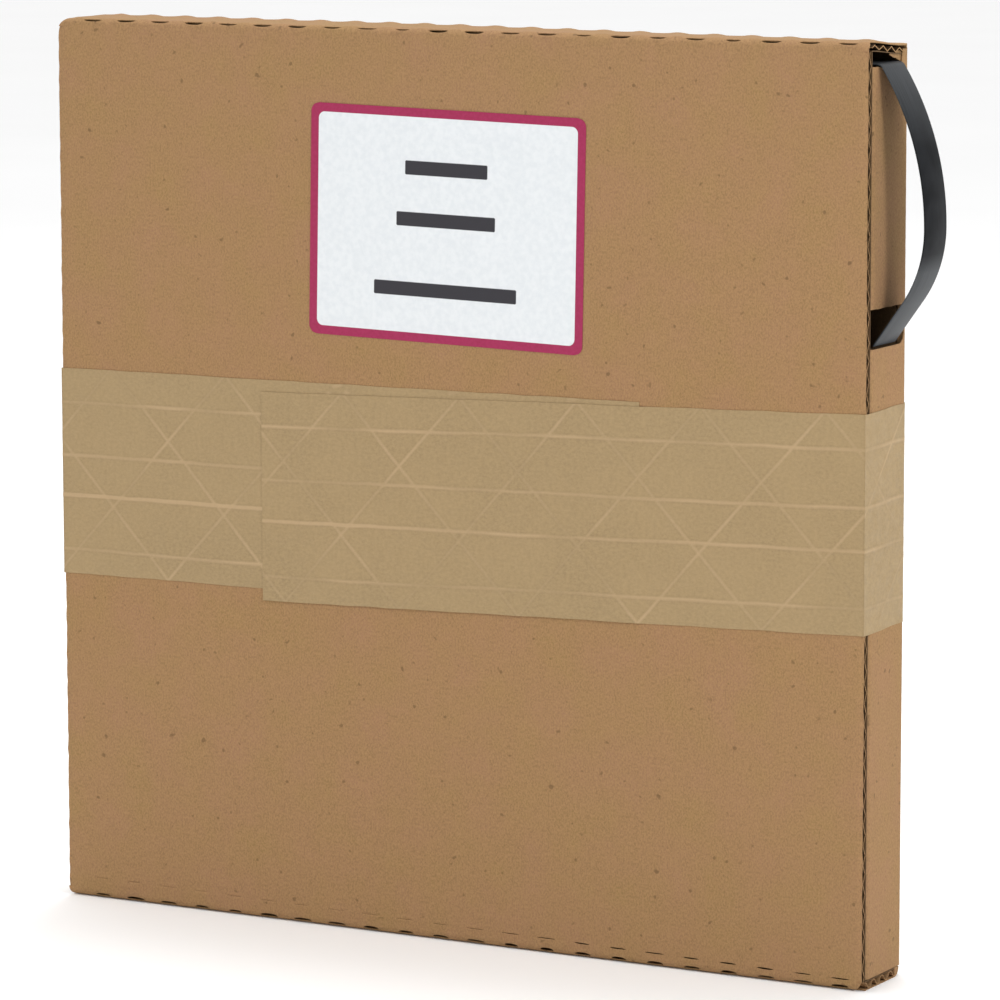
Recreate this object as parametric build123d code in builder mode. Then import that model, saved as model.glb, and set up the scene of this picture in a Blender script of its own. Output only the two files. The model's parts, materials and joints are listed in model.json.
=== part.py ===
from build123d import *
from math import asin, cos, degrees, radians, sin
import os

# Ribbon-wound steel strapping in a flat self-dispensing carton, standing on its bottom panel.
# Millimetres. The origin is the centre of the carton's footprint on the floor: +X points to
# the dispensing side, +Y to the carton's back, +Z up. The front panel faces -Y.

# Carton
WIDTH = 300.0            # along X
HEIGHT = 300.0           # along Z
DEPTH = 30.8             # along Y: four boards, with the strap and its play between them
BOARD = 3.0              # B-flute corrugated board
LINER = 0.3              # each paper face of the board
MEDIUM = 0.25            # the fluted paper between them
GLUE_GAP = 0.05          # glue line between a flute's crest and its liner
FLUTE_PITCH = 6.5
END_PLAY = 0.2           # a side panel's clearance to the top and bottom panels
TUCK_DEPTH = 40.0        # how far a tuck flap reaches behind the front panel
TUCK_INSET = 5.0         # a tuck flap is shorter than its side panel at each end
GLUE_FLAP = 35.0

# Perforated creases along the flutes: a slit and a whole stretch by turns
SLIT_PITCH = 13.3
SLIT_LENGTH = 6.65
SLIT_COUNT = 22
FIRST_SLIT = -136.7      # middle of the leftmost slit
SPARE_ROW_LEFT = 7.2     # height of the unused crease row at the front panel's left edge
SPARE_ROW_RIGHT = 3.6    # and at its right edge
SPARE_SLIT_WIDTH = 0.5
SPARE_SLIT_DEPTH = 0.15

# Openings in the dispensing side
EXIT_SILL = 292.0        # the strap leaves over this edge
HOLE_BOTTOM = 204.0      # the strap's tail is tucked in here
HOLE_TOP = 216.5
TONGUE = 0.6             # board torn half away, left standing at the back of the exit
TONGUE_SETBACK = 0.1
TONGUE_ROOT = (292.3, 296.4)
TONGUE_EDGE = ((8.3, 293.5), (4.0, 294.4), (0.4, 295.6), (5.2, 296.0))    # Y and Z, ragged

# Strap and coil: 5/8 in by 0.020 in steel, 91.44 m long
STRAP_WIDTH = 15.9
STRAP = 0.508
COIL_OUTER = 144.5
COIL_INNER = 78.1
COIL_CENTRE_Z = 147.85
LEAD_Z = 292.75          # middle of the strap's thickness where it leaves the coil
CREASE_X = 149.6         # where the strap bends over the sill
CREASE_RADIUS = 2.0
CREASE_TURN = 57.0
UPPER_RADIUS = 92.0
UPPER_TURN = 33.0
LOWER_RADIUS = 40.0
LOWER_TURN = 36.0
TAIL = 16.5
HINGE_GAP = 0.1

# Label and tape on the front
LABEL_WIDTH = 102.0
LABEL_HEIGHT = 76.0
LABEL_CENTRE = (-0.5, 236.0)
LABEL_TURN = -1.1
LABEL_CORNER = 3.0
LABEL_THICKNESS = 0.12
TAPE = 0.25
TAPE_WIDTH = 70.0
TAPE_START_X = 70.4      # the strip starts here, under its own end
TAPE_STEP_X = 70.7       # the end comes down onto the board here
TAPE_STEP_LAP = 0.5
TAPE_END_X = -70.8
START_LOW = 111.8        # lower edge of the tape at the left edge, on its first pass
START_HIGH = 113.4       # and at its start
BACK_LEFT_Z = 111.4
BACK_RIGHT_Z = 114.8
END_HIGH = 114.2         # lower edge at the right edge, on its second pass
END_LOW = 108.3          # and at its end

half_x = WIDTH / 2
half_y = DEPTH / 2
flat_x = half_x - BOARD          # a vertical fold starts here
flat_y = half_y - BOARD          # a horizontal fold starts here
flat_top = HEIGHT - BOARD
glue_y = flat_y - BOARD          # inner face of the glue flap, and of a tuck flap at -glue_y
side_low = BOARD + END_PLAY
side_high = flat_top - END_PLAY

os.makedirs("parts", exist_ok=True)


def save(piece, label):
    piece.part.label = label
    export_step(piece.part, "parts/" + label + ".step")


def save_liner(label, plane, span, run, height):
    """A flat paper face whose lower side is height above the plane."""
    with BuildPart() as liner:
        with BuildSketch(plane):
            with Locations((0, height)):
                Rectangle(span, LINER, align=(Align.MIN, Align.MIN))
        extrude(amount=run)
    save(liner, label)


def flute_side(span, side):
    """One side of the fluted paper: arcs from crest to trough and back. side is 1 or -1."""
    count = round(2 * span / FLUTE_PITCH)
    half_pitch = span / count
    rise = (BOARD - 2 * LINER - MEDIUM) / 2 - GLUE_GAP
    radius = ((half_pitch / 2) ** 2 + rise**2) / (2 * rise)
    slope = asin(half_pitch / 2 / radius)
    offset = side * MEDIUM / 2
    turns = [(half_pitch * index, BOARD / 2 + (-1) ** index * rise + offset)
             for index in range(count + 1)]
    crossings = [(half_pitch * (index + 0.5) + (-1) ** index * offset * sin(slope),
                  BOARD / 2 + offset * cos(slope)) for index in range(count)]
    TangentArc(turns[0], crossings[0], tangent=(1, 0))
    for index in range(1, count):
        ThreePointArc(crossings[index - 1], turns[index], crossings[index])
    TangentArc(turns[-1], crossings[-1], tangent=(-1, 0))
    return turns[0], turns[-1]


def save_medium(label, plane, span, run):
    """The wavy paper between a panel's two liners."""
    with BuildPart() as medium:
        with BuildSketch(plane):
            with BuildLine():
                lower_start, lower_end = flute_side(span, -1)
                upper_start, upper_end = flute_side(span, 1)
                Line(lower_start, upper_start)
                Line(lower_end, upper_end)
            make_face()
        extrude(amount=run)
    save(medium, label)


def save_panel(name, corner, across, along, span, run):
    """One flat panel as its three papers.

    corner is on the panel's outer face, across runs over the flutes, along runs with them,
    and the board's thickness builds up towards along x across, which points inwards.
    """
    plane = Plane(origin=corner, x_dir=across, z_dir=along)
    save_liner(name + "_outer_liner", plane, span, run, 0)
    save_medium(name + "_medium", plane, span, run)
    save_liner(name + "_inner_liner", plane, span, run, BOARD - LINER)


def quarter_round(centre, start):
    """Outline of the board where it turns through a right angle about the fold's inner edge."""
    bend = CenterArc(centre, BOARD, start, 90)
    Line(centre, bend @ 0)
    Line(bend @ 1, centre)


def curved_strip(centre, inner, outer, start, turn):
    """Outline of a thin strip bent round a centre."""
    inside = CenterArc(centre, inner, start, turn)
    outside = CenterArc(centre, outer, start, turn)
    Line(inside @ 0, outside @ 0)
    Line(inside @ 1, outside @ 1)


def save_slit_fold(label, centre, start):
    """A fold along X whose whole stretches carry it round between the slits."""
    with BuildPart() as fold:
        for low, high in whole_stretches:
            with BuildSketch(Plane.YZ.offset(low)):
                with BuildLine():
                    quarter_round(centre, start)
                make_face()
            extrude(amount=high - low)
    save(fold, label)


def save_upright_fold(label, centre, start, stretches):
    """A plain creased fold along Z."""
    with BuildPart() as fold:
        for low, high in stretches:
            with BuildSketch(Plane.XY.offset(low)):
                with BuildLine():
                    quarter_round(centre, start)
                make_face()
            extrude(amount=high - low)
    save(fold, label)


def save_strip(label, plane, outline, thickness):
    """A flat piece of paper with straight edges, stuck on the plane."""
    with BuildPart() as strip:
        with BuildSketch(plane):
            with BuildLine():
                Polyline(*outline, close=True)
            make_face()
        extrude(amount=thickness)
    save(strip, label)


# The flutes run along X in the blank, so they lie level all round the carton.
left, right = (-1, 0, 0), (1, 0, 0)
front, rear, up = (0, -1, 0), (0, 1, 0), (0, 0, 1)
side_run = flat_y + glue_y       # clear of the front panel and of the glue flap

# Back, top, bottom and the flap that glues the bottom to the inside of the back
save_panel("back", (-flat_x, half_y, 0), up, right, flat_top, 2 * flat_x)
save_panel("top", (half_x, -flat_y, HEIGHT), rear, left, 2 * flat_y, WIDTH)
save_panel("bottom", (-half_x, -flat_y, 0), rear, right, side_run, WIDTH)
save_panel("glue_flap", (-flat_x, flat_y, BOARD), up, right, GLUE_FLAP, 2 * flat_x)

# The dispensing side is one panel with the tuck hole between its two lengths
save_panel("right_side_upper", (half_x, flat_y, HOLE_TOP), up, front,
           EXIT_SILL - HOLE_TOP, side_run)
save_panel("right_side_lower", (half_x, flat_y, side_low), up, front,
           HOLE_BOTTOM - side_low, side_run)
save_panel("left_side", (-half_x, -glue_y, side_low), up, rear, side_high - side_low, side_run)

# Tuck flaps, behind the front panel
tuck_low = side_low + TUCK_INSET
save_panel("right_tuck_flap", (flat_x, -flat_y, tuck_low), up, left,
           EXIT_SILL - TUCK_INSET - tuck_low, TUCK_DEPTH)
save_panel("left_tuck_flap", (-flat_x + TUCK_DEPTH, -flat_y, tuck_low), up, left,
           side_high - TUCK_INSET - tuck_low, TUCK_DEPTH)

# Front panel, whose outer face has a second, unused crease row pressed into it
slit_centres = [FIRST_SLIT + SLIT_PITCH * index for index in range(SLIT_COUNT)]
front_plane = Plane(origin=(half_x, -half_y, BOARD), x_dir=up, z_dir=left)
front_span = flat_top - BOARD
save_medium("front_medium", front_plane, front_span, WIDTH)
save_liner("front_inner_liner", front_plane, front_span, WIDTH, BOARD - LINER)

front_face = Plane(origin=(0, -half_y, 0), x_dir=right, z_dir=front)
row_fall = (SPARE_ROW_RIGHT - SPARE_ROW_LEFT) / WIDTH
row_middle = (SPARE_ROW_RIGHT + SPARE_ROW_LEFT) / 2
row_places = [(x, row_middle + row_fall * x) for x in slit_centres]
with BuildPart() as front_outer_liner:
    with BuildSketch(front_plane):
        Rectangle(front_span, LINER, align=(Align.MIN, Align.MIN))
    extrude(amount=WIDTH)
    with BuildSketch(front_face):
        with Locations(*row_places):
            Rectangle(SLIT_LENGTH, SPARE_SLIT_WIDTH)
    extrude(amount=-SPARE_SLIT_DEPTH, mode=Mode.SUBTRACT)
save(front_outer_liner, "front_outer_liner")

# Folds along X, slit through
slit_edges = [x + side for x in slit_centres for side in (-SLIT_LENGTH / 2, SLIT_LENGTH / 2)]
whole_edges = [-half_x] + slit_edges + [half_x]
whole_stretches = list(zip(whole_edges[0::2], whole_edges[1::2]))
save_slit_fold("top_front_fold", (-flat_y, flat_top), 90)
save_slit_fold("top_back_fold", (flat_y, flat_top), 0)
save_slit_fold("bottom_front_fold", (-flat_y, BOARD), 180)
save_slit_fold("bottom_back_fold", (glue_y, BOARD), 270)

# Folds along Z
full_height = [(side_low, side_high)]
beside_hole = [(side_low, HOLE_BOTTOM), (HOLE_TOP, EXIT_SILL)]
save_upright_fold("right_back_fold", (flat_x, flat_y), 0, full_height)
save_upright_fold("left_back_fold", (-flat_x, flat_y), 90, full_height)
save_upright_fold("right_front_fold", (flat_x, -glue_y), 270, beside_hole)
save_upright_fold("left_front_fold", (-flat_x, -glue_y), 180, full_height)

# What is left of the board torn out of the exit: a ragged tongue of the outer face
tongue_outline = [(flat_y, TONGUE_ROOT[0]), *TONGUE_EDGE, (flat_y, TONGUE_ROOT[1])]
tongue_plane = Plane.YZ.offset(half_x - TONGUE_SETBACK - TONGUE)
save_strip("exit_torn_tongue", tongue_plane, tongue_outline, TONGUE)

# Label
label_plane = Plane(origin=(LABEL_CENTRE[0], -half_y, LABEL_CENTRE[1]), x_dir=right, z_dir=front)
with BuildPart() as label:
    with BuildSketch(label_plane):
        RectangleRounded(LABEL_WIDTH, LABEL_HEIGHT, LABEL_CORNER, rotation=LABEL_TURN)
    extrude(amount=LABEL_THICKNESS)
save(label, "label")


# One strip of reinforced tape, once round the carton and over its own start
def tape_outline(low_start, low_end, start, end):
    """A stretch of the strip on a wall, from start to end across the wall."""
    return [(start, low_start), (end, low_end), (end, low_end + TAPE_WIDTH),
            (start, low_start + TAPE_WIDTH)]


def end_low(x):
    """Lower edge of the second pass over the front."""
    return END_LOW + (END_HIGH - END_LOW) * (x - TAPE_END_X) / (half_x - TAPE_END_X)


start_pass = tape_outline(START_LOW, START_HIGH, -half_x, TAPE_START_X)
save_strip("tape_start", front_face, start_pass, TAPE)

wrap_front = -half_y - TAPE
left_wall = Plane.YZ.offset(-half_x - TAPE)
save_strip("tape_left", left_wall, tape_outline(START_LOW, BACK_LEFT_Z, wrap_front, flat_y), TAPE)
right_wall = Plane.YZ.offset(half_x)
save_strip("tape_right", right_wall, tape_outline(END_HIGH, BACK_RIGHT_Z, wrap_front, flat_y), TAPE)

back_pass = tape_outline(BACK_LEFT_Z, BACK_RIGHT_Z, -flat_x, flat_x)
back_wall = Plane(origin=(0, half_y + TAPE, 0), x_dir=right, z_dir=front)
with BuildPart() as tape_back:
    with BuildSketch(back_wall):
        with BuildLine():
            Polyline(*back_pass, close=True)
        make_face()
    extrude(amount=TAPE)
    for corner_x, low, first in ((-flat_x, BACK_LEFT_Z, 90), (flat_x, BACK_RIGHT_Z, 0)):
        with BuildSketch(Plane.XY.offset(low)):
            with BuildLine():
                curved_strip((corner_x, flat_y), BOARD, BOARD + TAPE, first, 90)
            make_face()
        extrude(amount=TAPE_WIDTH)
save(tape_back, "tape_back")

over_start = tape_outline(END_LOW, end_low(TAPE_STEP_X + TAPE_STEP_LAP),
                          TAPE_END_X, TAPE_STEP_X + TAPE_STEP_LAP)
on_board = tape_outline(end_low(TAPE_STEP_X), END_HIGH, TAPE_STEP_X, half_x)
with BuildPart() as tape_end:
    for outline, lift in ((over_start, TAPE), (on_board, 0)):
        with BuildSketch(front_face.offset(lift)):
            with BuildLine():
                Polyline(*outline, close=True)
            make_face()
        extrude(amount=TAPE)
save(tape_end, "tape_end")

# Coil
with BuildPart() as strap_coil:
    with BuildSketch(Plane.XZ):
        with Locations((0, COIL_CENTRE_Z)):
            Circle(COIL_OUTER)
            Circle(COIL_INNER, mode=Mode.SUBTRACT)
    extrude(amount=STRAP_WIDTH / 2, both=True)
save(strap_coil, "strap_coil")


# Strap from the coil's top, out over the sill, down in a bow and into the tuck hole.
# Each bend turns towards the floor, so a place on it is an angle about the bend's centre.
def along_bend(centre, radius, angle):
    return (centre[0] + radius * cos(radians(angle)), centre[1] + radius * sin(radians(angle)))


def next_centre(point, radius, angle):
    return along_bend(point, -radius, angle)


def strap_bend(centre, radius, start, end):
    curved_strip(centre, radius - STRAP / 2, radius + STRAP / 2, start, end - start)


def gap_angle(radius):
    """Half of the gap between two lengths of strap, as an angle on the bend."""
    return degrees(HINGE_GAP / 2 / radius)


def save_bow(label, centre, radius, start, end):
    """A length of the bow between two hinge gaps."""
    with BuildPart() as bow:
        with BuildSketch(Plane.XZ):
            with BuildLine():
                strap_bend(centre, radius, start - gap_angle(radius), end + gap_angle(radius))
            make_face()
        extrude(amount=STRAP_WIDTH / 2, both=True)
    save(bow, label)


crease_end = 90 - CREASE_TURN
crease_centre = (CREASE_X, LEAD_Z - CREASE_RADIUS)
upper_centre = next_centre(along_bend(crease_centre, CREASE_RADIUS, crease_end),
                           UPPER_RADIUS, crease_end)
upper_end = crease_end - UPPER_TURN
upper_middle = (crease_end + upper_end) / 2
lower_centre = next_centre(along_bend(upper_centre, UPPER_RADIUS, upper_end),
                           LOWER_RADIUS, upper_end)
lower_end = upper_end - LOWER_TURN
tail_start = along_bend(lower_centre, LOWER_RADIUS, lower_end)

with BuildPart() as strap_lead:
    with BuildSketch(Plane.XZ):
        with Locations((0, LEAD_Z)):
            Rectangle(CREASE_X, STRAP, align=(Align.MIN, Align.CENTER))
        with BuildLine():
            strap_bend(crease_centre, CREASE_RADIUS, 90, crease_end + gap_angle(CREASE_RADIUS))
        make_face()
    extrude(amount=STRAP_WIDTH / 2, both=True)
save(strap_lead, "strap_lead")

save_bow("strap_bow_upper", upper_centre, UPPER_RADIUS, crease_end, upper_middle)
save_bow("strap_bow_middle", upper_centre, UPPER_RADIUS, upper_middle, upper_end)
save_bow("strap_bow_lower", lower_centre, LOWER_RADIUS, upper_end, lower_end)

tail_heading = radians(lower_end - 90)
tail_plane = Plane(origin=(tail_start[0], 0, tail_start[1]),
                   x_dir=(cos(tail_heading), 0, sin(tail_heading)), z_dir=front)
with BuildPart() as strap_tail:
    with BuildSketch(tail_plane):
        with Locations((HINGE_GAP / 2, 0)):
            Rectangle(TAIL, STRAP, align=(Align.MIN, Align.CENTER))
    extrude(amount=STRAP_WIDTH / 2, both=True)
save(strap_tail, "strap_tail")
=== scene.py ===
import json
import math

import bpy
import numpy as np
from mathutils import Matrix, Vector


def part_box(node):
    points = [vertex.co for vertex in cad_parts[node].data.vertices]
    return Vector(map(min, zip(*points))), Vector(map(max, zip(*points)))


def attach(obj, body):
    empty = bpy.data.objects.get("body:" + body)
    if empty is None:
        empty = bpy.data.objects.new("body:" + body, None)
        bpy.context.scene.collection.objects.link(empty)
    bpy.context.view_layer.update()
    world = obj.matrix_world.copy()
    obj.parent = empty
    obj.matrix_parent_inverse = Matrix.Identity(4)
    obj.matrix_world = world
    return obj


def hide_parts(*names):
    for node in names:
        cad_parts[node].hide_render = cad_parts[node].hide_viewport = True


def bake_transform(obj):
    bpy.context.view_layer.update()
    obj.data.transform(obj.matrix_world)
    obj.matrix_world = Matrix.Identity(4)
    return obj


# The looks of a boxed coil of steel strapping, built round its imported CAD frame. Metres.
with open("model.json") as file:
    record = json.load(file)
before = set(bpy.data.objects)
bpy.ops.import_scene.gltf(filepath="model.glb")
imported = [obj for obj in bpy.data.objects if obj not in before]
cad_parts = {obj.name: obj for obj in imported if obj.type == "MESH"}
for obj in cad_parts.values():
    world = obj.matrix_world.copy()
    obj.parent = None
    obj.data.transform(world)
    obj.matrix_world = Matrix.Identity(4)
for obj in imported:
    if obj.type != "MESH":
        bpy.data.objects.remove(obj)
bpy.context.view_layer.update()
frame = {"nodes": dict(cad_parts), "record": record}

MM = 0.001

# ---------------------------------------------------------------- places from the frame
front_low, front_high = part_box("front_outer_liner")
back_low, back_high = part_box("back_outer_liner")
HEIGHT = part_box("top_outer_liner")[1].z
HALF_X = front_high.x
FRONT_Y = front_low.y
BACK_Y = back_high.y
FOLD = HEIGHT - front_high.z
FLAT_X = HALF_X - FOLD
FLAT_Y = BACK_Y - FOLD
FLAT_TOP = HEIGHT - FOLD
TUCK_Y = -FLAT_Y + FOLD
LINER = 0.3 * MM                # paper thickness of the board's faces
FLUTE = 6.53 * MM               # length of one wave of the fluting

# The perforated creases: a slit and a whole stretch by turns
SLIT_PITCH = 13.3 * MM
SLIT_LENGTH = 6.65 * MM
FIRST_SLIT = -136.7 * MM        # middle of the leftmost slit
SLIT_COUNT = 22
slit_centres = FIRST_SLIT + SLIT_PITCH * np.arange(SLIT_COUNT)


# ---------------------------------------------------------------- numbers over a surface
NOISE_CELLS = 64


def noise(x, y, cell, seed):
    """Smooth noise between -1 and 1, with features about one cell wide."""
    table = np.random.default_rng(seed).uniform(-1, 1, (NOISE_CELLS, NOISE_CELLS))
    u, v = np.broadcast_arrays(np.asarray(x) / cell, np.asarray(y) / cell)
    i, j = np.floor(u).astype(int), np.floor(v).astype(int)
    a, b = u - i, v - j
    a, b = a * a * (3 - 2 * a), b * b * (3 - 2 * b)
    left, right = i % NOISE_CELLS, (i + 1) % NOISE_CELLS
    near, far = j % NOISE_CELLS, (j + 1) % NOISE_CELLS
    low = table[left, near] * (1 - a) + table[right, near] * a
    high = table[left, far] * (1 - a) + table[right, far] * a
    return low * (1 - b) + high * b


def bell(distance, width):
    """1 at no distance, falling smoothly to nothing a few widths away."""
    return np.exp(-(distance / width) ** 2)


def ramp(value, low, high):
    """0 up to low and 1 from high on, with a smooth rise between them."""
    t = np.clip((value - low) / (high - low), 0, 1)
    return t * t * (3 - 2 * t)


def slit_lens(x, half_height, seed):
    """Half of the slit's opening at each x, with every slit a little different."""
    opening = np.zeros_like(x)
    sizes = np.random.default_rng(seed).uniform(0.75, 1.2, (SLIT_COUNT, 2))
    for centre, (tall, long) in zip(slit_centres, sizes):
        t = np.clip(np.abs(x - centre) / (SLIT_LENGTH / 2 * min(long, 1.05)), 0, 1)
        opening += half_height * tall * np.sqrt(1 - t**2.5)
    return opening


def beside_slit(x):
    """1 in the middle of a slit, 0 in the middle of the whole stretch beside it."""
    phase = (x - FIRST_SLIT) / SLIT_PITCH
    return 0.5 + 0.5 * np.cos(2 * np.pi * phase)


# ---------------------------------------------------------------- meshes
WELD_DISTANCE = 1e-6


def grid_faces(rows, columns, gap_row=None):
    """Quads of a grid of points, without the row of quads at gap_row."""
    index = np.arange(rows * columns).reshape(rows, columns)
    cells = np.stack([index[:-1, :-1], index[:-1, 1:], index[1:, 1:], index[1:, :-1]], -1)
    if gap_row is not None:
        cells = np.delete(cells, gap_row, axis=0)
    return cells.reshape(-1, 4)


def weld(points, faces):
    """Joins points at the same place and drops the quads that close up."""
    keys = np.round(points / WELD_DISTANCE).astype(np.int64)
    _, first, inverse = np.unique(keys, axis=0, return_index=True, return_inverse=True)
    faces = inverse.reshape(-1)[faces]
    ordered = np.sort(faces, axis=1)
    whole = (np.diff(ordered, axis=1) > 0).all(axis=1)
    return points[first], faces[whole]


def vertex_normals(points, faces):
    """Unit normals, each the mean of the faces round its vertex."""
    a, b, c, d = (points[faces[:, i]] for i in range(4))
    face_normals = np.cross(c - a, d - b)
    normals = np.zeros_like(points)
    for i in range(4):
        np.add.at(normals, faces[:, i], face_normals)
    return normals / np.maximum(np.linalg.norm(normals, axis=1, keepdims=True), 1e-12)


def shell(points, faces, thickness):
    """Gives an open sheet its paper thickness, inwards from its outer face."""
    points, faces = weld(points, faces)
    count = len(points)
    inner = points - vertex_normals(points, faces) * thickness
    starts = faces.reshape(-1)
    ends = np.roll(faces, -1, axis=1).reshape(-1)
    edge = ~np.isin(ends * count + starts, starts * count + ends)
    starts, ends = starts[edge], ends[edge]
    rim = np.stack([ends, starts, starts + count, ends + count], -1)
    return np.vstack([points, inner]), np.vstack([faces, faces[:, ::-1] + count, rim])


SHARP_ANGLE = math.radians(40)
STRAP_SHARP_ANGLE = math.radians(50)


def piece(name, points, faces, material, body="carton", *, replaces, lining=None,
          cut_edge=None):
    """One visible piece on a body. A shell's inner side or its rim may have its own material."""
    mesh = bpy.data.meshes.new(name)
    mesh.from_pydata(np.asarray(points).tolist(), [], np.asarray(faces).tolist())
    mesh.update()
    mesh.shade_smooth()
    mesh.set_sharp_from_angle(angle=SHARP_ANGLE)
    mesh.materials.append(material)
    inner_corners = (np.asarray(faces) >= len(points) // 2).sum(axis=1)
    if lining:
        mesh.materials.append(lining)
        mesh.polygons.foreach_set("material_index", (inner_corners == 4).astype(int))
    if cut_edge:
        mesh.materials.append(cut_edge)
        mesh.polygons.foreach_set("material_index", (inner_corners == 2).astype(int))
    made = bpy.data.objects.new(name, mesh)
    bpy.context.scene.collection.objects.link(made)
    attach(made, body)
    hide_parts(*replaces)
    return made


# ---------------------------------------------------------------- materials
class Nodes:
    """A short way to write a material's node tree."""

    def __init__(self, name):
        self.material = bpy.data.materials.new(name)
        self.material.use_nodes = True
        self.tree = self.material.node_tree
        self.shader = self.tree.nodes["Principled BSDF"]
        self.place = self.add("ShaderNodeTexCoord").outputs["Object"]

    def add(self, kind, inputs=None, **settings):
        node = self.tree.nodes.new(kind)
        for key, value in settings.items():
            setattr(node, key, value)
        for key, value in (inputs or {}).items():
            self.put(node.inputs[key], value)
        return node

    def put(self, socket, value):
        if isinstance(value, bpy.types.NodeSocket):
            self.tree.links.new(value, socket)
        else:
            socket.default_value = value

    def math(self, operation, *values):
        node = self.add("ShaderNodeMath", operation=operation)
        for socket, value in zip(node.inputs, values):
            self.put(socket, value)
        return node.outputs[0]

    def stretched(self, vector, scale):
        return self.add("ShaderNodeVectorMath", {0: vector, 1: scale},
                        operation="MULTIPLY").outputs[0]

    def noise(self, scale, detail=3.0, stretch=(1, 1, 1), roughness=0.55):
        return self.add("ShaderNodeTexNoise", {
            "Vector": self.stretched(self.place, stretch), "Scale": scale, "Detail": detail,
            "Roughness": roughness}).outputs["Fac"]

    def map(self, value, low, high, to_low=0.0, to_high=1.0):
        return self.add("ShaderNodeMapRange", {
            "Value": value, "From Min": low, "From Max": high,
            "To Min": to_low, "To Max": to_high}).outputs[0]

    def mix(self, factor, first, second):
        node = self.add("ShaderNodeMix", data_type="RGBA")
        self.put(node.inputs["Factor"], factor)
        self.put(node.inputs["A"], first)
        self.put(node.inputs["B"], second)
        return node.outputs["Result"]

    def bump(self, height, strength, distance, normal=None):
        node = self.add("ShaderNodeBump", {
            "Height": height, "Strength": strength, "Distance": distance})
        if normal is not None:
            self.put(node.inputs["Normal"], normal)
        return node.outputs["Normal"]

    def set(self, **values):
        names = {"color": "Base Color", "roughness": "Roughness", "normal": "Normal",
                 "specular": "Specular IOR Level"}
        for key, value in values.items():
            self.put(self.shader.inputs[names[key]], value)
        return self.material


def shade(color, factor):
    """The same colour, darker or brighter."""
    return tuple(min(c * factor, 1.0) for c in color[:3]) + (1.0,)


KRAFT = (0.295, 0.172, 0.079, 1.0)
KRAFT_PINK = (0.308, 0.168, 0.09, 1.0)
KRAFT_OLIVE = (0.285, 0.177, 0.069, 1.0)
TAPE = (0.318, 0.222, 0.108, 1.0)
# Colour of the painted highlight over the tape's yarns.
TAPE_YARN_HIGHLIGHT = (0.52, 0.36, 0.2, 1.0)
STEEL_DARK = (0.006, 0.0065, 0.0075, 1.0)
STEEL_PALE = (0.014, 0.015, 0.017, 1.0)
STEEL_DRAWN = (0.05, 0.053, 0.058, 1.0)
# Greys of the painted reflection on the strap's outside.
REFLECTION_GREY_DARK = (0.042, 0.045, 0.048, 1.0)
REFLECTION_GREY_PALE = (0.078, 0.082, 0.087, 1.0)
LABEL_PAPER = ((0.68, 0.71, 0.73, 1.0), (0.73, 0.755, 0.77, 1.0))
LABEL_INK = ((0.29, 0.008, 0.06, 1.0), (0.34, 0.013, 0.08, 1.0))
LABEL_GREY = (0.022, 0.02, 0.026, 1.0)


def kraft_material(name, level=1.0):
    """Unbleached kraft paper: mottled pulp, fine fibres along the web, and small specks.

    level is its brightness: paper hidden from the light is darker.
    """
    n = Nodes(name)
    web = (1, 1, 0.7)
    tint = n.map(n.noise(55, 4.0), 0.34, 0.66)
    color = n.mix(tint, shade(KRAFT_OLIVE, level), shade(KRAFT_PINK, level))
    pulp = n.map(n.noise(560, 4.0, web, 0.7), 0.34, 0.66)
    color = n.mix(n.math("MULTIPLY", pulp, 0.6), color, shade(KRAFT, 0.8 * level))
    grain = n.map(n.noise(1700, 2.0, web, 0.7), 0.36, 0.64)
    color = n.mix(n.math("MULTIPLY", grain, 0.8), color, shade(KRAFT, 1.3 * level))
    knot = n.map(n.noise(330, 1.0), 0.7, 0.76)
    color = n.mix(n.math("MULTIPLY", knot, 0.6), color, shade(KRAFT, 0.45 * level))
    speck = n.map(n.noise(1500, 1.0), 0.70, 0.76)
    color = n.mix(n.math("MULTIPLY", speck, 0.5), color, shade(KRAFT, 0.5 * level))
    pale = n.map(n.noise(1100, 1.0, web), 0.74, 0.80)
    color = n.mix(n.math("MULTIPLY", pale, 0.3), color, shade(KRAFT, 1.4 * level))
    fine = n.bump(n.noise(1400, 3.0, web), 0.3, 0.08 * MM)
    normal = n.bump(n.noise(260, 2.0), 0.2, 0.2 * MM, fine)
    return n.set(color=color, roughness=0.86, specular=0.22, normal=normal)


def cut_board_material(name):
    """Fluting paper: rough, and dark, because little light gets between the liners."""
    n = Nodes(name)
    fibre = n.map(n.noise(1300, 4.0, (1, 1, 1), 0.7), 0.3, 0.7)
    color = n.mix(fibre, shade(KRAFT, 0.11), shade(KRAFT, 0.26))
    normal = n.bump(n.noise(2600, 3.0), 0.5, 0.1 * MM)
    return n.set(color=color, roughness=0.93, specular=0.12, normal=normal)


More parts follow.
